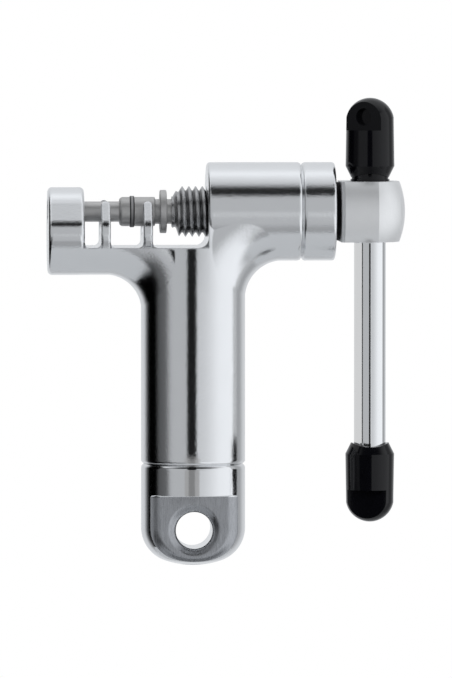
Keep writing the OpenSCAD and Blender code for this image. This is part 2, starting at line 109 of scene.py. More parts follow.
class NodeSheet:
    """Adds and links shader nodes in one node tree.

    A colour mix has sockets of the same names for other kinds of data, so its own are kept here by
    number.
    """

    MIX_SHARE = 0
    MIX_LOW = 6
    MIX_HIGH = 7
    MIX_RESULT = 2

    def __init__(self, tree: bpy.types.NodeTree) -> None:
        """Keeps the tree that the nodes go into."""
        self.tree = tree

    def add(self, kind: str, **settings: object) -> Node:
        """Adds a node.

        Args:
            kind: Blender's node type.
            settings: properties of the node, set by name.

        Returns:
            The new node.
        """
        node = self.tree.nodes.new(kind)
        for name, value in settings.items():
            setattr(node, name, value)
        return node

    def link(self, source: Socket, target: Socket) -> None:
        """Links an output socket to an input socket."""
        self.tree.links.new(source, target)

    def feed(self, value: object, target: Socket) -> None:
        """Links a socket to an input socket, or sets a plain value there.

        Args:
            value: a socket, or a number or colour.
            target: the input socket.
        """
        if isinstance(value, Socket):
            self.link(value, target)
        else:
            target.default_value = value

    def math(self, operation: str, *inputs: object) -> Socket:
        """Adds a math node.

        Args:
            operation: the math node's operation.
            inputs: numbers or sockets, in order.

        Returns:
            The result socket.
        """
        node = self.add("ShaderNodeMath", operation=operation)
        for value, target in zip(inputs, node.inputs):
            self.feed(value, target)
        return node.outputs["Value"]

    def angle(self, operation: str, *inputs: object) -> Socket:
        """Adds a math node whose result is an angle, in degrees."""
        return self.math("MULTIPLY", self.math(operation, *inputs), math.degrees(1.0))

    def length(self, first: Socket, second: Socket) -> Socket:
        """Gives the length of a vector with two parts."""
        squares = [self.math("MULTIPLY", part, part) for part in (first, second)]
        return self.math("SQRT", self.math("ADD", *squares))

    def map_range(self, value: Socket, source: Span, target: Span) -> Socket:
        """Maps a value smoothly from one span to another.

        Args:
            value: socket with the value.
            source: start and end of the value's span.
            target: what the start and the end become.

        Returns:
            The mapped value's socket.
        """
        node = self.add("ShaderNodeMapRange", interpolation_type="SMOOTHSTEP")
        self.link(value, node.inputs["Value"])
        for label, span in (("From", source), ("To", target)):
            for end, limit in zip(("Min", "Max"), span):
                node.inputs[f"{label} {end}"].default_value = limit
        return node.outputs["Result"]

    def noise(self, place: Socket, scale: Socket, detail: float, roughness: float = 0.5) -> Socket:
        """Adds a noise texture.

        Args:
            place: socket with the place on the surface.
            scale: socket with the noise's scale.
            detail: number of finer layers.
            roughness: strength of the finer layers.

        Returns:
            The noise's socket.
        """
        node = self.add("ShaderNodeTexNoise", noise_dimensions="3D")
        self.link(place, node.inputs["Vector"])
        self.link(scale, node.inputs["Scale"])
        node.inputs["Detail"].default_value = detail
        node.inputs["Roughness"].default_value = roughness
        return node.outputs["Fac"]

    def ramp(self, value: Socket, stops: list[tuple[float, Colour]]) -> Socket:
        """Adds a colour ramp.

        Args:
            value: socket with a value from 0 to 1.
            stops: places and colours along the ramp, in rising order.

        Returns:
            The colour socket.
        """
        node = self.add("ShaderNodeValToRGB")
        elements = node.color_ramp.elements
        for place, colour in stops[1:-1]:
            elements.new(place).color = (*colour, 1.0)
        for element, (place, colour) in zip(elements, stops):
            element.position = place
            element.color = (*colour, 1.0)
        self.link(value, node.inputs["Fac"])
        return node.outputs["Color"]

    def mix(self, share: Socket, low: object, high: object) -> Socket:
        """Mixes two colours.

        Args:
            share: socket with the share of the second colour.
            low: first colour or its socket.
            high: second colour or its socket.

        Returns:
            The mixed colour's socket.
        """
        node = self.add("ShaderNodeMix", data_type="RGBA")
        self.link(share, node.inputs[self.MIX_SHARE])
        for value, place in ((low, self.MIX_LOW), (high, self.MIX_HIGH)):
            self.feed(value if isinstance(value, Socket) else (*value, 1.0), node.inputs[place])
        return node.outputs[self.MIX_RESULT]

    def mix_values(self, share: Socket, low: Socket, high: Socket) -> Socket:
        """Mixes two values.

        Args:
            share: socket with the share of the second value.
            low: socket with the first value.
            high: socket with the second value.

        Returns:
            The mixed value's socket.
        """
        rest = self.math("SUBTRACT", 1.0, share)
        parts = [self.math("MULTIPLY", *pair) for pair in ((high, share), (low, rest))]
        return self.math("ADD", *parts)

    def either(self, choice: Socket, first: Socket, second: Socket) -> Socket:
        """Chooses between two shaders.

        Args:
            choice: socket with 0 for the first shader and 1 for the second.
            first: the first shader's socket.
            second: the second shader's socket.

        Returns:
            The chosen shader's socket.
        """
        node = self.add("ShaderNodeMixShader")
        for source, target in zip((choice, first, second), node.inputs):
            self.link(source, target)
        return node.outputs["Shader"]


class PlaceNodes:
    """The place on a surface in millimetres, from Object coordinates."""

    def __init__(self, sheet: NodeSheet) -> None:
        """Adds the nodes.

        Args:
            sheet: the material's node sheet.
        """
        place = sheet.add("ShaderNodeTexCoord")
        scale = sheet.add("ShaderNodeVectorMath", operation="SCALE")
        scale.inputs["Scale"].default_value = 1.0 / MM
        sheet.link(place.outputs["Object"], scale.inputs[0])
        parts = sheet.add("ShaderNodeSeparateXYZ")
        self.whole = scale.outputs["Vector"]
        sheet.link(self.whole, parts.inputs[0])
        self.x, self.y, self.z = parts.outputs


class EffectGroups:
    """Shader node groups for the finishes, each built once."""

    CLOUD_BREADTH = 14.0  # how many times broader the clouds are than the grain

    def __init__(self) -> None:
        """Builds the groups."""
        self.grain = self._grain()
        self.brushed = self._brushed()

    @staticmethod
    def _new(name: str, *outputs: str) -> tuple[NodeSheet, Node, Node]:
        """Starts a group that reads a place and a scale.

        Args:
            name: name of the group.
            outputs: names of the values that come out.

        Returns:
            The group's node sheet and its two end nodes.
        """
        group = bpy.data.node_groups.new(name, "ShaderNodeTree")
        group.interface.new_socket("Vector", in_out="INPUT", socket_type="NodeSocketVector")
        group.interface.new_socket("Scale", in_out="INPUT", socket_type="NodeSocketFloat")
        for label in outputs:
            group.interface.new_socket(label, in_out="OUTPUT", socket_type="NodeSocketFloat")
        sheet = NodeSheet(group)
        return sheet, sheet.add("NodeGroupInput"), sheet.add("NodeGroupOutput")

    def _grain(self) -> bpy.types.NodeTree:
        """Fine plated or blasted grain: a height that changes from spot to spot, and broad clouds.

        Returns:
            The node group.
        """
        sheet, start, end = self._new("fine_grain", "Height", "Cloud")
        place, scale = start.outputs["Vector"], start.outputs["Scale"]
        broad = sheet.math("DIVIDE", scale, self.CLOUD_BREADTH)
        sheet.link(sheet.noise(place, scale, detail=3.0, roughness=0.65), end.inputs["Height"])
        sheet.link(sheet.noise(place, broad, detail=2.0), end.inputs["Cloud"])
        return sheet.tree

    def _brushed(self) -> bpy.types.NodeTree:
        """Brushed lines: thin streaks along the axis on which the given vector is squeezed.

        Returns:
            The node group.
        """
        sheet, start, end = self._new("brushed_lines", "Streak")
        place, scale = start.outputs["Vector"], start.outputs["Scale"]
        sheet.link(sheet.noise(place, scale, detail=4.0, roughness=0.7), end.inputs["Streak"])
        return sheet.tree


def new_material(name: str) -> tuple[bpy.types.Material, NodeSheet, Node]:
    """Starts a material.

    Args:
        name: name of the material.

    Returns:
        The material, its node sheet and its Principled shader.
    """
    material = bpy.data.materials.new(name)
    material.use_nodes = True
    sheet = NodeSheet(material.node_tree)
    return material, sheet, material.node_tree.nodes["Principled BSDF"]


def new_object(bm: bmesh.types.BMesh, name: str, material: bpy.types.Material) -> bpy.types.Object:
    """Turns a bmesh into an object of the scene.

    Args:
        bm: the finished bmesh, which is freed.
        name: name of the object and of its mesh.
        material: its material.

    Returns:
        The object.
    """
    mesh = bpy.data.meshes.new(name)
    bm.to_mesh(mesh)
    bm.free()
    mesh.materials.append(material)
    made = bpy.data.objects.new(name, mesh)
    bpy.context.scene.collection.objects.link(made)
    return made


@dataclass(frozen=True)
class Finish:
    """A surface finish with fine grain: one Principled material.

    Grain and edge are in millimetres. Shade is the share by which the tone strays from the colour,
    edge the radius of its rubbed edges, and wave how far the clouds lift the surface beside the
    grain.
    """

    name: str
    colour: Colour
    metallic: float
    rough: Span
    grain_size: float
    grain_depth: float
    shade: float
    specular: float = 0.5
    edge: float = 0.0
    wave: float = 0.0

    def begin(self) -> tuple[bpy.types.Material, NodeSheet, Node]:
        """Starts the material with what is the same all over it.

        Returns:
            The material, its node sheet and its Principled shader.
        """
        material, sheet, shader = new_material(self.name)
        shader.inputs["Metallic"].default_value = self.metallic
        shader.inputs["Specular IOR Level"].default_value = self.specular
        return material, sheet, shader

    def grain(self, sheet: NodeSheet, groups: EffectGroups) -> Node:
        """Places the grain group on Object coordinates.

        Args:
            sheet: the material's node sheet.
            groups: the shared effect groups.

        Returns:
            The group node.
        """
        place = sheet.add("ShaderNodeTexCoord")
        node = sheet.add("ShaderNodeGroup", node_tree=groups.grain)
        node.inputs["Scale"].default_value = 1.0 / (self.grain_size * MM)
        sheet.link(place.outputs["Object"], node.inputs["Vector"])
        return node

    def tone(self, sheet: NodeSheet, grain: Node) -> Socket:
        """Lets the colour stray with the clouds."""
        return sheet.mix(grain.outputs["Cloud"], *shades(self.colour, self.shade))

    def roughness(self, sheet: NodeSheet, grain: Node) -> Socket:
        """Lets the roughness change with the grain."""
        return sheet.map_range(grain.outputs["Height"], NOISE_SPAN, self.rough)

    def bump(self, sheet: NodeSheet, shader: Node, height: Socket) -> Node:
        """Adds the grain's bump, and rounds the edges where they are rubbed.

        Args:
            sheet: the material's node sheet.
            shader: the Principled shader.
            height: socket with the height, from 0 to 1.

        Returns:
            The bump node.
        """
        bump = sheet.add("ShaderNodeBump")
        bump.inputs["Distance"].default_value = self.grain_depth * MM
        sheet.link(height, bump.inputs["Height"])
        sheet.link(bump.outputs["Normal"], shader.inputs["Normal"])
        if self.edge > 0.0:
            soft = sheet.add("ShaderNodeBevel", samples=EDGE_SAMPLES)
            soft.inputs["Radius"].default_value = self.edge * MM
            sheet.link(soft.outputs["Normal"], bump.inputs["Normal"])
        return bump

    def material(self, groups: EffectGroups) -> bpy.types.Material:
        """Builds the material.

        Args:
            groups: the shared effect groups.

        Returns:
            The material.
        """
        material, sheet, shader = self.begin()
        grain = self.grain(sheet, groups)
        sheet.link(self.tone(sheet, grain), shader.inputs["Base Color"])
        sheet.link(self.roughness(sheet, grain), shader.inputs["Roughness"])
        cloud, height = grain.outputs["Cloud"], grain.outputs["Height"]
        self.bump(sheet, shader, sheet.math("MULTIPLY_ADD", cloud, self.wave, height))
        return material


@dataclass(frozen=True)
class FlatBrushed(Finish):
    """Polished steel with two brushed flats round a hole, their edges worn round.

    Sizes are in millimetres.
    """

    flat_half: float = 4.5
    flat_top: float = 5.4
    flat_colour: Colour = (0.38, 0.39, 0.41)
    flat_shade: float = 0.5
    flat_rough: Span = (0.24, 0.36)
    plane_fade: Span = (0.02, 0.06)
    top_fade: float = 0.1
    hole_radius: float = 2.9
    side_radius: float = 8.2
    corner_radius: float = 5.5
    corner_height: float = 0.24
    worn_width: float = 1.3
    worn_depth: float = 0.65
    line_axis: Axis = Axis.HANDLE
    line_width: float = 0.16
    line_stretch: float = 12.0
    line_lift: float = 2.0

    def flat_mask(self, sheet: NodeSheet, place: PlaceNodes) -> Socket:
        """Masks the two flats by their place.

        Args:
            sheet: the material's node sheet.
            place: the place on the surface.

        Returns:
            Socket with 1 on the flats and 0 elsewhere.
        """
        off = sheet.math("SUBTRACT", sheet.math("ABSOLUTE", place.y), self.flat_half)
        on_plane = sheet.map_range(sheet.math("ABSOLUTE", off), self.plane_fade, FADE_OUT)
        below = sheet.map_range(place.z, (self.flat_top - self.top_fade, self.flat_top), FADE_OUT)
        return sheet.math("MULTIPLY", on_plane, below)

    def streaks(self, sheet: NodeSheet, place: PlaceNodes, groups: EffectGroups) -> Socket:
        """Draws the brushed lines of the flats.

        Args:
            sheet: the material's node sheet.
            place: the place on the surface.
            groups: the shared effect groups.

        Returns:
            Socket with the lines, from 0 to 1.
        """
        squeeze = 1.0 - 1.0 / self.line_stretch
        scale = [1.0 - squeeze * share for share in self.line_axis.value]
        stretch = sheet.add("ShaderNodeMapping")
        stretch.inputs["Scale"].default_value = scale
        sheet.link(place.whole, stretch.inputs["Vector"])
        lines = sheet.add("ShaderNodeGroup", node_tree=groups.brushed)
        lines.inputs["Scale"].default_value = 1.0 / self.line_width
        sheet.link(stretch.outputs["Vector"], lines.inputs["Vector"])
        return lines.outputs["Streak"]

    def worn_height(self, sheet: NodeSheet, place: PlaceNodes) -> Socket:
        """Lets the surface fall off towards the hole and towards the outline of the foot.

        Args:
            sheet: the material's node sheet.
            place: the place on the surface.

        Returns:
            Socket with the height in millimetres.
        """
        from_hole = sheet.math("SUBTRACT", sheet.length(place.x, place.z), self.hole_radius)
        below = sheet.math("MINIMUM", sheet.math("SUBTRACT", place.z, self.corner_height), 0.0)
        drop = sheet.math("MULTIPLY", below, below)
        corner = sheet.math("SQRT", sheet.math("SUBTRACT", self.corner_radius**2, drop))
        outline = sheet.math("ADD", corner, self.side_radius - self.corner_radius)
        from_side = sheet.math("SUBTRACT", outline, sheet.length(place.x, place.y))
        falls = [
            sheet.map_range(distance, (0.0, self.worn_width), (-self.worn_depth, 0.0))
            for distance in (from_hole, from_side)
        ]
        return sheet.math("ADD", *falls)

    def material(self, groups: EffectGroups) -> bpy.types.Material:
        """Builds the material.

        Args:
            groups: the shared effect groups.

        Returns:
            The material.
        """
        material, sheet, shader = self.begin()
        grain = self.grain(sheet, groups)
        place = PlaceNodes(sheet)
        mask = self.flat_mask(sheet, place)
        streak = self.streaks(sheet, place, groups)
        flat_tone = sheet.mix(streak, *shades(self.flat_colour, self.flat_shade))
        flat_rough = sheet.map_range(streak, NOISE_SPAN, self.flat_rough)
        tone = sheet.mix(mask, self.tone(sheet, grain), flat_tone)
        rough = sheet.mix_values(mask, self.roughness(sheet, grain), flat_rough)
        sheet.link(tone, shader.inputs["Base Color"])
        sheet.link(rough, shader.inputs["Roughness"])
        lift = sheet.math("MULTIPLY", streak, sheet.math("MULTIPLY", mask, self.line_lift))
        fine = self.bump(sheet, shader, sheet.math("ADD", grain.outputs["Height"], lift))
        worn = sheet.add("ShaderNodeBump")
        worn.inputs["Distance"].default_value = MM
        sheet.link(self.worn_height(sheet, place), worn.inputs["Height"])
        sheet.link(worn.outputs["Normal"], fine.inputs["Normal"])
        return material


@dataclass(frozen=True)
class ThreadSteel(Finish):
    """Dark steel with painted shade in the thread's roots and a painted highlight on its crests.

    Sizes are in millimetres.
    """

    node: str = "spindle"
    axis_height: float = 50.0
    root_radius: float = 3.4
    crest_radius: float = 3.9
    # shares of the colour for the painted shade in the roots and the painted highlight on the
    # crests and the cone
    root_shade_share: float = 0.25
    crest_highlight_share: float = 1.2
    cone_highlight_share: float = 0.7
    cone_length: float = 1.1
    cone_fade: float = 0.2
    cloud_share: float = 0.3

    def tone(self, sheet: NodeSheet, grain: Node) -> Socket:
        """Paints shade into the roots, and paints a highlight onto the crests and the cone at the
        screw's start.

        Args:
            sheet: the material's node sheet.
            grain: the grain's group node.

        Returns:
            The colour's socket.
        """
        place = PlaceNodes(sheet)
        radius = sheet.length(place.y, sheet.math("SUBTRACT", place.z, self.axis_height))
        thread = sheet.map_range(radius, (self.root_radius, self.crest_radius), FADE_IN)
        cone_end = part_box(self.node)[0].x / MM + self.cone_length
        cone_span = (cone_end, cone_end + self.cone_fade)
        cone = sheet.map_range(place.x, cone_span, (self.cone_highlight_share, 0.0))
        crest = sheet.math("MAXIMUM", thread, cone)
        root_shade_tone = scaled(self.colour, self.root_shade_share)
        crest_highlight_tone = scaled(self.colour, self.crest_highlight_share)
        # painted shade in the roots, painted highlight on the crests and the cone
        worn = sheet.mix(crest, root_shade_tone, crest_highlight_tone)
        clouded = sheet.math("MULTIPLY", crest, self.cloud_share)
        return sheet.mix(clouded, worn, super().tone(sheet, grain))


@dataclass(frozen=True)
class CrestRing(Finish):
    """A black ring with a painted highlight along the middle of its width, on its crest.

    The painted highlight fades between two shares of the ring's half width.
    """

    node: str = "pin_ring"
    crest_highlight_fade: Span = (0.3, 0.6)
    crest_highlight_colour: Colour = (0.2, 0.2, 0.205)

    def tone(self, sheet: NodeSheet, grain: Node) -> Socket:
        """Paints a highlight along the middle of the ring's width.

        Args:
            sheet: the material's node sheet.
            grain: the grain's group node.

        Returns:
            The colour's socket.
        """
        low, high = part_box(self.node)
        middle = (low.x + high.x) / MM / 2
        half = (high.x - low.x) / MM / 2
        off = sheet.math("ABSOLUTE", sheet.math("SUBTRACT", PlaceNodes(sheet).x, middle))
        # painted highlight along the ring's crest
        crest_highlight = sheet.map_range(off, tuple(half * share for share in self.crest_highlight_fade), FADE_OUT)
        return sheet.mix(crest_highlight, super().tone(sheet, grain), self.crest_highlight_colour)


BODY_STEEL = Finish(
    "satin_plated_steel", colour=(0.80, 0.81, 0.825), metallic=1.0, rough=(0.1, 0.15),
    grain_size=0.3, grain_depth=0.018, shade=0.02, edge=0.3, wave=1.0,
)
FOOT_STEEL = FlatBrushed(
    "satin_plated_foot", colour=(0.80, 0.81, 0.825), metallic=1.0, rough=(0.1, 0.15),
    grain_size=0.3, grain_depth=0.006, shade=0.02,
)
PIN_STEEL = Finish(
    "hardened_pin_steel", colour=(0.55, 0.545, 0.54), metallic=0.95, rough=(0.4, 0.52),
    grain_size=0.2, grain_depth=0.006, shade=0.12,
)
CARRIER_STEEL = Finish(
    "phosphated_carrier_steel", colour=(0.53, 0.525, 0.52), metallic=0.95, rough=(0.42, 0.54),
    grain_size=0.2, grain_depth=0.008, shade=0.14,
)
SCREW_STEEL = ThreadSteel(
    "oiled_screw_steel", colour=(0.42, 0.42, 0.425), metallic=0.95, rough=(0.2, 0.34),
    grain_size=0.15, grain_depth=0.004, shade=0.16,
)
HEAD_STEEL = Finish(
    "satin_head_steel", colour=(0.88, 0.885, 0.89), metallic=1.0, rough=(0.46, 0.56),
    grain_size=0.25, grain_depth=0.003, shade=0.03,
)
BAR_CHROME = Finish(
    "bright_bar_chrome", colour=(0.83, 0.84, 0.85), metallic=1.0, rough=(0.06, 0.1),
    grain_size=0.5, grain_depth=0.0006, shade=0.02,
)
CAP_PLASTIC = Finish(
    "black_cap_plastic", colour=(0.002, 0.002, 0.003), metallic=0.0, rough=(0.12, 0.18),
    grain_size=0.22, grain_depth=0.002, shade=0.3, specular=0.28,
)
RING_BLACK = CrestRing(
    "black_ring", colour=(0.012, 0.012, 0.013), metallic=0.0, rough=(0.4, 0.55),
    grain_size=0.2, grain_depth=0.003, shade=0.3,
)
# The washer's black also paints the shade of the narrow gap between barrel and head.
WASHER_BLACK_AND_GAP_SHADE = Finish(
    "black_washer_and_gap_shade", colour=(0.004, 0.004, 0.005), metallic=0.0, rough=(0.6, 0.75),
    grain_size=0.2, grain_depth=0.003, shade=0.3, specular=0.12,
)


@dataclass(frozen=True)
class Card:
    """A sheet close to the tool, seen only in what mirrors it. Sizes in millimetres.

    A card without glow is dark felt. A card with glow shines from its front and has a clear back.
    """

    name: str
    middle: Place
    size: Span
    facing: Facing = Facing.FRONT
    glow: float = 0.0
    felt_tone: float = 0.01

    def build(self) -> None:
        """Builds the card and adds it to the scene."""
        bm = bmesh.new()
        bmesh.ops.create_grid(bm, x_segments=1, y_segments=1, size=0.5)
        bmesh.ops.scale(bm, verts=bm.verts, vec=(self.size[0] * MM, self.size[1] * MM, 1.0))
        upright = Matrix.Rotation(self.facing.value, 3, "Z") @ Matrix.Rotation(math.pi / 2, 3, "X")
        bmesh.ops.rotate(bm, verts=bm.verts, cent=(0.0, 0.0, 0.0), matrix=upright)
        bmesh.ops.translate(bm, verts=bm.verts, vec=Vector(self.middle) * MM)
        card = new_object(bm, self.name, self._sheet())
        card.visible_camera = False
        card.visible_diffuse = False
        card.visible_shadow = False

    def _sheet(self) -> bpy.types.Material:
        """Builds the card's material.

        Returns:
            Dark felt, or light with a clear back.
        """
        material, sheet, felt = new_material(self.name)
        felt.inputs["Base Color"].default_value = (*scaled(WHITE, self.felt_tone), 1.0)
        felt.inputs["Roughness"].default_value = 1.0
        if self.glow > 0.0:
            light = sheet.add("ShaderNodeEmission")
            light.inputs["Strength"].default_value = self.glow
            clear = sheet.add("ShaderNodeBsdfTransparent")
            behind = sheet.add("ShaderNodeNewGeometry").outputs["Backfacing"]
            surface = sheet.either(behind, light.outputs["Emission"], clear.outputs["BSDF"])
            sheet.link(surface, material.node_tree.nodes["Material Output"].inputs["Surface"])
        return material


@dataclass(frozen=True)
class Lamp:
    """A soft lamp that lights matt surfaces but stays out of what metal mirrors.

    Lengths are in metres, and power in watts.
    """

    name: str
    place: Place
    power: float
    size: float = 0.6

    def build(self, target: Vector) -> None:
        """Builds the lamp and aims it.

        Args:
            target: the point that it shines at.
        """
        data = bpy.data.lights.new(self.name, "AREA")
        data.energy = self.power
        data.size = self.size
        lamp = bpy.data.objects.new(self.name, data)
        lamp.location = self.place
        lamp.rotation_euler = (target - Vector(self.place)).to_track_quat("-Z", "Y").to_euler()
        lamp.visible_glossy = False
        bpy.context.scene.collection.objects.link(lamp)


@dataclass
class Studio:
    """Camera, white surroundings, and the light tent and cards that the metal mirrors.

    Lengths are in metres. Directions are degrees: round the tool from the front to the right, and
    up from level. Wall, roof and ground list directions and the light that comes from there. The
    shade is a dark gap in the tent, and the wedges carry the walls down to the slanting edges of
    the table.
    """

    target: Vector = field(default_factory=lambda: Vector((5.2, 0.0, 29.9)) * MM)
    distance: float = 1200 * MM
    camera_left: float = 2.7
    camera_up: float = 2.6
    camera_reach: float = 10.0
    mm_per_pixel: float = 0.1575
    sensor: float = 24.0
    floor_drop: float = 150 * MM
    floor_size: float = 0.18
    floor_colour: Colour = (0.52, 0.53, 0.54)
    floor_rough: float = 0.9
    tint: Colour = (0.955, 0.975, 1.0)
    wall: tuple[Stop, ...] = (
        (-180, 0.8), (-140, 0.72), (-126, 0.12), (-118, 0.0), (-92, 0.0), (-86, 0.1), (-66, 0.15),
        (-58, 0.5), (-52, 0.54), (-20, 0.53), (5, 0.54), (25, 0.68), (60, 1.02), (98, 1.08),
        (106, 0.42), (124, 0.42), (140, 0.7), (180, 0.8),
    )
    roof: tuple[Stop, ...] = (
        (-180, 0.75), (0, 0.02), (58, 0.02), (63, 0.34), (70, 0.66), (77, 0.75), (86, 0.88),
        (100, 1.1), (120, 0.86), (180, 0.75),
    )
    ground: tuple[Stop, ...] = (
        (-180, 0.6), (-110, 0.55), (-85, 0.56), (-58, 0.56), (-48, 0.38), (-36, 0.41), (0, 0.5),
        (180, 0.6),
    )
    wall_top: Span = (34.0, 42.0)
    wall_foot: Span = (-38.0, -26.0)
    shade_turn: tuple[Span, Span] = ((-128.0, -118.0), (-92.0, -84.0))
    shade_rise: tuple[Span, Span] = ((-8.0, -3.0), (38.0, 50.0))
    wedge_slant: tuple[Span, Span] = ((0.0, 2.0), (53.0, 60.0))
    wedge_bend: float = 0.8
    wedge_reach: Span = (60.0, 112.0)
    cards: tuple[Card, ...] = (
        Card("handle_card", (-1.1, -14.2, 28.4), (3.8, 34.2)),
        Card("foot_card", (-1.1, -14.2, 7.95), (2.4, 6.7), Facing.BACK, glow=0.25),
        Card("foot_backing_card", (-1.1, -14.4, 7.95), (6.0, 6.7), Facing.BACK, glow=0.42),
        Card("low_lever_card", (27.45, -6.5, 19.45), (1.1, 50.9)),
        Card("low_cap_card", (24.85, -6.5, 6.75), (6.7, 12.9)),
        Card("high_lever_card", (27.45, -6.5, 83.7), (1.9, 56.6)),
        Card("lever_light_card", (24.2, 0.15, 29.2), (6.7, 31.6), Facing.RIGHT, glow=0.74),
        Card("lever_edge_card", (24.2, -3.5, 29.2), (0.6, 31.6), Facing.RIGHT, glow=0.02),
    )
    lamps: tuple[Lamp, ...] = (
        Lamp("key_lamp", (0.5, -0.7, 0.6), power=5.0),
        Lamp("fill_lamp", (-0.7, -0.6, 0.3), power=2.0),
        Lamp("back_lamp", (0.0, 0.8, 0.6), power=3.0),
    )

    def build(self) -> None:
        """Builds camera, world, floor, cards and lamps."""
        self._camera()
        self._world()
        self._floor()
        for card in self.cards:
            card.build()
        for lamp in self.lamps:
            lamp.build(self.target)
        bpy.context.scene.view_settings.view_transform = "Standard"

    def _camera(self) -> None:
        """Sets the camera at the photograph's viewing angle."""
        left = math.radians(self.camera_left)
        up = math.radians(self.camera_up)
        level = math.cos(up)
        back = Vector((-math.sin(left) * level, -math.cos(left) * level, math.sin(up)))
        data = bpy.data.cameras.new("camera")
        data.sensor_fit = "VERTICAL"
        data.sensor_height = self.sensor
        data.lens = self.sensor * self.distance / (self.mm_per_pixel * MM * PHOTO_HEIGHT)
        data.clip_end = self.camera_reach
        camera = bpy.data.objects.new("camera", data)
        camera.location = self.target + back * self.distance
        camera.rotation_euler = (-back).to_track_quat("-Z", "Y").to_euler()
        bpy.context.scene.collection.objects.link(camera)
        bpy.context.scene.camera = camera

    def _world(self) -> None:
        """Makes the world white for the camera, and a light tent for everything else."""
        world = bpy.data.worlds.new("light_tent")
        world.use_nodes = True
        world.node_tree.nodes.clear()
        bpy.context.scene.world = world
        sheet = NodeSheet(world.node_tree)
        tent = sheet.add("ShaderNodeBackground")
        sheet.link(self._tent(sheet), tent.inputs["Color"])
        white = sheet.add("ShaderNodeBackground")
        white.inputs["Color"].default_value = (*WHITE, 1.0)
        seen = sheet.add("ShaderNodeLightPath").outputs["Is Camera Ray"]
        surface = sheet.either(seen, tent.outputs["Background"], white.outputs["Background"])
        sheet.link(surface, sheet.add("ShaderNodeOutputWorld").inputs["Surface"])

    def _panels(self, sheet: NodeSheet, angle: Socket, levels: tuple[Stop, ...]) -> Socket:
        """Lays out panels of light along an angle.

        Args:
            sheet: the world's node sheet.
            angle: socket with the angle in degrees, from -180 to 180.
            levels: angles and light levels, in rising order.

        Returns:
            The light's colour socket.
        """
        half = FULL_TURN / 2
        share = sheet.math("MULTIPLY_ADD", angle, 1.0 / FULL_TURN, half / FULL_TURN)
        stops = [((place + half) / FULL_TURN, scaled(self.tint, level)) for place, level in levels]
        return sheet.ramp(share, stops)

    def _tent(self, sheet: NodeSheet) -> Socket:
        """Puts walls, roof and ground of the tent together.

        Args:
            sheet: the world's node sheet.

        Returns:
            The tent's colour socket.
        """
        place = sheet.add("ShaderNodeTexCoord")
        parts = sheet.add("ShaderNodeSeparateXYZ")
        sheet.link(place.outputs["Generated"], parts.inputs[0])
        front = sheet.math("MULTIPLY", parts.outputs["Y"], -1.0)
        turn = sheet.angle("ARCTAN2", parts.outputs["X"], front)
        pitch = sheet.angle("ARCTAN2", parts.outputs["Z"], front)
        rise = sheet.angle("ARCSINE", parts.outputs["Z"])
        wall = self._panels(sheet, turn, self.wall)
        roof = self._panels(sheet, pitch, self.roof)
        ground = self._panels(sheet, pitch, self.ground)
        lower = sheet.mix(sheet.map_range(rise, self.wall_foot, FADE_IN), ground, wall)
        whole = sheet.mix(sheet.map_range(rise, self.wall_top, FADE_IN), lower, roof)
        across = self._between(sheet, turn, self.shade_turn)
        upward = self._between(sheet, rise, self.shade_rise)
        shaded = sheet.mix(sheet.math("MULTIPLY", across, upward), whole, BLACK)
        return self._wedge(sheet, parts, shaded)

    def _wedge(self, sheet: NodeSheet, parts: Node, tent: Socket) -> Socket:
        """Carries the walls at both sides down to the slanting edges of the table.

        Args:
            sheet: the world's node sheet.
            parts: node with the direction's x, y and z.
            tent: the rest of the tent.

        Returns:
            The tent's colour socket with the slanting edges.
        """
        side = sheet.math("ABSOLUTE", parts.outputs["X"])
        front, down = (sheet.math("MULTIPLY", parts.outputs[axis], -1.0) for axis in "YZ")
        slant = sheet.angle("ARCTAN2", down, side)
        away = sheet.angle("ARCCOSINE", front)
        reach = sheet.map_range(away, self.wedge_reach, (self.wedge_bend, 0.0))
        bent = sheet.math("ADD", away, sheet.math("MULTIPLY", slant, reach))
        turn = sheet.math("MULTIPLY", bent, sheet.math("SIGN", parts.outputs["X"]))
        wall = self._panels(sheet, turn, self.wall)
        return sheet.mix(self._between(sheet, slant, self.wedge_slant), tent, wall)

    @staticmethod
    def _between(sheet: NodeSheet, angle: Socket, limits: tuple[Span, Span]) -> Socket:
        """Masks the angles between two soft limits.

        Args:
            sheet: the world's node sheet.
            angle: socket with the angle in degrees.
            limits: where the mask rises and where it falls.

        Returns:
            Socket with 1 between the limits.
        """
        rising = sheet.map_range(angle, limits[0], FADE_IN)
        falling = sheet.map_range(angle, limits[1], FADE_OUT)
        return sheet.math("MULTIPLY", rising, falling)

    def _floor(self) -> None:
        """Lays a pale floor below the hanging tool, white to the camera."""
        bm = bmesh.new()
        bmesh.ops.create_grid(bm, x_segments=1, y_segments=1, size=self.floor_size)
        bmesh.ops.translate(bm, verts=bm.verts, vec=(0.0, 0.0, CAD_BOX[0][2] - self.floor_drop))
        material, sheet, shader = new_material("pale_floor")
        shader.inputs["Base Color"].default_value = (*self.floor_colour, 1.0)
        shader.inputs["Roughness"].default_value = self.floor_rough
        white = sheet.add("ShaderNodeEmission")
        seen = sheet.add("ShaderNodeLightPath").outputs["Is Camera Ray"]
        surface = sheet.either(seen, shader.outputs["BSDF"], white.outputs["Emission"])
        sheet.link(surface, material.node_tree.nodes["Material Output"].inputs["Surface"])
        new_object(bm, "floor", material)


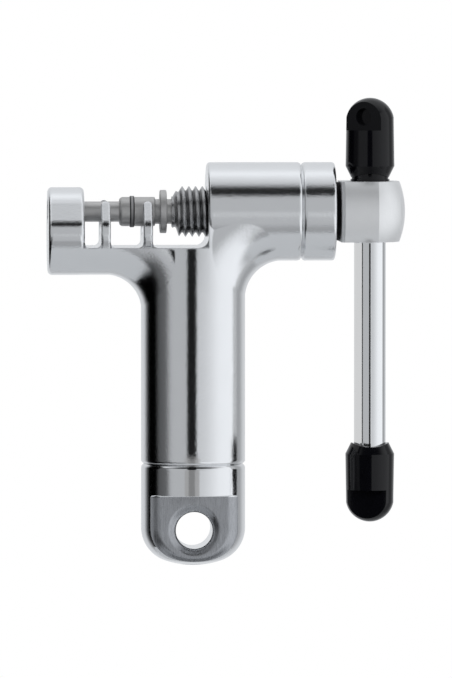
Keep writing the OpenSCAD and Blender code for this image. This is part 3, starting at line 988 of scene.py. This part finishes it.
class Pieces:
    """Dresses CAD nodes and takes in new pieces."""

    def __init__(self, groups: EffectGroups) -> None:
        """Keeps the shared effect groups and one material for each finish."""
        self.groups = groups
        self.materials: dict[str, bpy.types.Material] = {}

    def finish(self, finish: Finish) -> bpy.types.Material:
        """Gives a finish's material, built once.

        Args:
            finish: the finish.

        Returns:
            The material.
        """
        if finish.name not in self.materials:
            self.materials[finish.name] = finish.material(self.groups)
        return self.materials[finish.name]

    def dress(self, node: str, finish: Finish) -> None:
        """Gives a CAD node its finish.

        Args:
            node: name of the CAD node.
            finish: the finish.
        """
        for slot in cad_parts[node].material_slots:
            slot.material = self.finish(finish)
        LOG.info("dressed %s with %s", node, finish.name)

    def take(
        self, bm: bmesh.types.BMesh, name: str, body: str, finish: Finish
    ) -> bpy.types.Object:
        """Turns a bmesh into a piece that rides on a body.

        Args:
            bm: the finished bmesh, which is freed.
            name: name of the piece.
            body: CAD body that it rides on.
            finish: its finish.

        Returns:
            The piece.
        """
        piece = new_object(bm, name, self.finish(finish))
        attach(piece, body)
        LOG.info("made %s on %s with %s", name, body, finish.name)
        return piece


Dressing = tuple[tuple[str, Finish], ...]


@dataclass
class SubAssembly:
    """CAD nodes that belong together, each with its finish."""

    finishes: Dressing = ()

    def build(self, pieces: Pieces) -> None:
        """Dresses the CAD nodes."""
        for node, finish in self.finishes:
            pieces.dress(node, finish)


@dataclass
class HandleUnit(SubAssembly):
    """The forged body with the handle, its screwed foot and the spare pin inside."""

    finishes: Dressing = (
        ("body", BODY_STEEL),
        ("end_cap", FOOT_STEEL),
        ("spare_pin", PIN_STEEL),
    )


@dataclass
class PinUnit(SubAssembly):
    """The drive pin, the nose that carries it and the ring round the nose."""

    finishes: Dressing = (
        ("drive_pin", PIN_STEEL),
        ("pin_carrier", CARRIER_STEEL),
        ("pin_ring", RING_BLACK),
    )


@dataclass
class LeverUnit(SubAssembly):
    """The sliding bar with a cap on each end."""

    finishes: Dressing = (
        ("lever_bar", BAR_CHROME),
        ("lever_cap_upper", CAP_PLASTIC),
        ("lever_cap_lower", CAP_PLASTIC),
    )


@dataclass
class ScrewUnit(SubAssembly):
    """The head and its washer, and the drive screw.

    The screw has a cut thread in place of the CAD's plain cylinder. Sizes are in millimetres, and
    crest and root are shares of the pitch.
    """

    finishes: Dressing = (
        ("head_washer", WASHER_BLACK_AND_GAP_SHADE),
        ("head", HEAD_STEEL),
    )
    pitch: float = INCH / 24
    depth: float = 0.64
    crest: float = 0.1
    root: float = 0.2
    lead_turns: int = 2
    spare_turns: int = 1
    segments: int = 56
    taper_length: float = 1.25
    taper_drop: float = 1.6
    taper_lead: float = 0.5
    tail_radius: float = 3.5
    thread_end: float = 21.9
    runout: float = 0.6
    thread_weld: float = 0.002
    core_weld: float = 0.001
    skin_margin: float = 0.01
    smooth_angle: float = math.radians(50)
    start: float = field(init=False)
    radius: float = field(init=False)
    centre: Vector = field(init=False)

    def __post_init__(self) -> None:
        """Reads the CAD screw's start and radius, and its middle line in metres."""
        low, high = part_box("spindle")
        self.start = low.x / MM
        self.radius = (high.z - low.z) / MM / 2
        self.centre = Vector((0.0, 0.0, (high.z + low.z) / 2))

    def build(self, pieces: Pieces) -> None:
        """Dresses the CAD nodes and builds the screw.

        Args:
            pieces: dresses the nodes and takes in the screw.
        """
        super().build(pieces)
        bm = bmesh.new()
        self._helix(bm)
        self._ends(bm)
        self._core(bm)
        piece = pieces.take(bm, "screw_thread", "screw_unit", SCREW_STEEL)
        piece.data.set_sharp_from_angle(angle=self.smooth_angle)
        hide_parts("spindle")

    def _helix(self, bm: bmesh.types.BMesh) -> None:
        """Spins one pitch of the thread's flank line into a helix along the screw.

        Args:
            bm: takes the helix.
        """
        flank = (1.0 - self.crest - self.root) / 2
        outline = (
            (0.0, self.depth),
            (self.root, self.depth),
            (self.root + flank, 0.0),
            (self.root + flank + self.crest, 0.0),
            (1.0, self.depth),
        )
        first = self.start - self.lead_turns * self.pitch
        line = []
        for share, drop in outline:
            corner = Vector((first + share * self.pitch, 0.0, self.radius - drop)) * MM
            line.append(bm.verts.new(self.centre + corner))
        edges = [bm.edges.new(pair) for pair in zip(line, line[1:])]
        turns = math.ceil((self.thread_end - first) / self.pitch) + self.spare_turns
        bmesh.ops.spin(
            bm,
            geom=line + edges,
            cent=self.centre,
            axis=Axis.SCREW.value,
            dvec=(self.pitch * MM / self.segments, 0.0, 0.0),
            angle=2 * math.pi * turns,
            steps=self.segments * turns,
            use_merge=False,
            use_duplicate=False,
        )
        bmesh.ops.remove_doubles(bm, verts=bm.verts, dist=self.thread_weld * MM)

    def _ends(self, bm: bmesh.types.BMesh) -> None:
        """Trims the helix to length, cones its start and runs it out into the tail.

        Args:
            bm: holds the helix.
        """
        for place, side in ((self.start, -1.0), (self.thread_end, 1.0)):
            bmesh.ops.bisect_plane(
                bm,
                geom=bm.verts[:] + bm.edges[:] + bm.faces[:],
                plane_co=(place * MM, 0.0, 0.0),
                plane_no=(side, 0.0, 0.0),
                clear_outer=True,
            )
        for vert in bm.verts:
            spoke = Vector((0.0, vert.co.y, vert.co.z - self.centre.z))
            spoke.length = self._end_radius(vert.co.x / MM, spoke.length / MM) * MM
            vert.co = Vector((vert.co.x, spoke.y, spoke.z + self.centre.z))
        bmesh.ops.recalc_face_normals(bm, faces=bm.faces)
        for face in bm.faces:
            face.smooth = True

    def _end_radius(self, along: float, radius: float) -> float:
        """Gives the radius of the coned and run-out thread.

        Args:
            along: place along the screw.
            radius: radius of the even thread there.

        Returns:
            The new radius.
        """
        cone = max(0.0, 1.0 - (along - self.start) / self.taper_length)
        sink = min(1.0, (along - self.start) / self.taper_lead)
        radius = self.radius - cone * self.taper_drop - sink * (self.radius - radius)
        share = max(0.0, 1.0 - (self.thread_end - along) / self.runout)
        return radius + (self.tail_radius - radius) * min(1.0, share)

    def _core(self, bm: bmesh.types.BMesh) -> None:
        """Adds the CAD screw's end face, swivel bore and tail to the helix.

        Args:
            bm: holds the helix.
        """
        core = bmesh.new()
        core.from_mesh(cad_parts["spindle"].data)
        bmesh.ops.remove_doubles(core, verts=core.verts, dist=self.core_weld * MM)
        skin = [face for face in core.faces if self._under_thread(face)]
        bmesh.ops.delete(core, geom=skin, context="FACES")
        mesh = bpy.data.meshes.new("screw_core")
        core.to_mesh(mesh)
        core.free()
        bm.from_mesh(mesh)
        bpy.data.meshes.remove(mesh)

    def _under_thread(self, face: bmesh.types.BMFace) -> bool:
        """Tells whether a face of the CAD's screw is skin that the thread replaces.

        Args:
            face: face of the merged copy.

        Returns:
            True for the skin of the threaded length.
        """
        skin_radius = (self.radius - self.taper_drop - self.skin_margin) * MM
        spokes = (math.hypot(vert.co.y, vert.co.z - self.centre.z) for vert in face.verts)
        return face.calc_center_median().x < self.thread_end * MM and min(spokes) > skin_radius


def main() -> None:
    """Builds the studio and the tool's sub-assemblies in order, and reports each piece."""
    logging.basicConfig(level=logging.INFO, format="%(name)s: %(message)s")
    Studio().build()
    pieces = Pieces(EffectGroups())
    for unit in (HandleUnit(), PinUnit(), LeverUnit(), ScrewUnit()):
        unit.build(pieces)


if __name__ == "__main__":
    main()
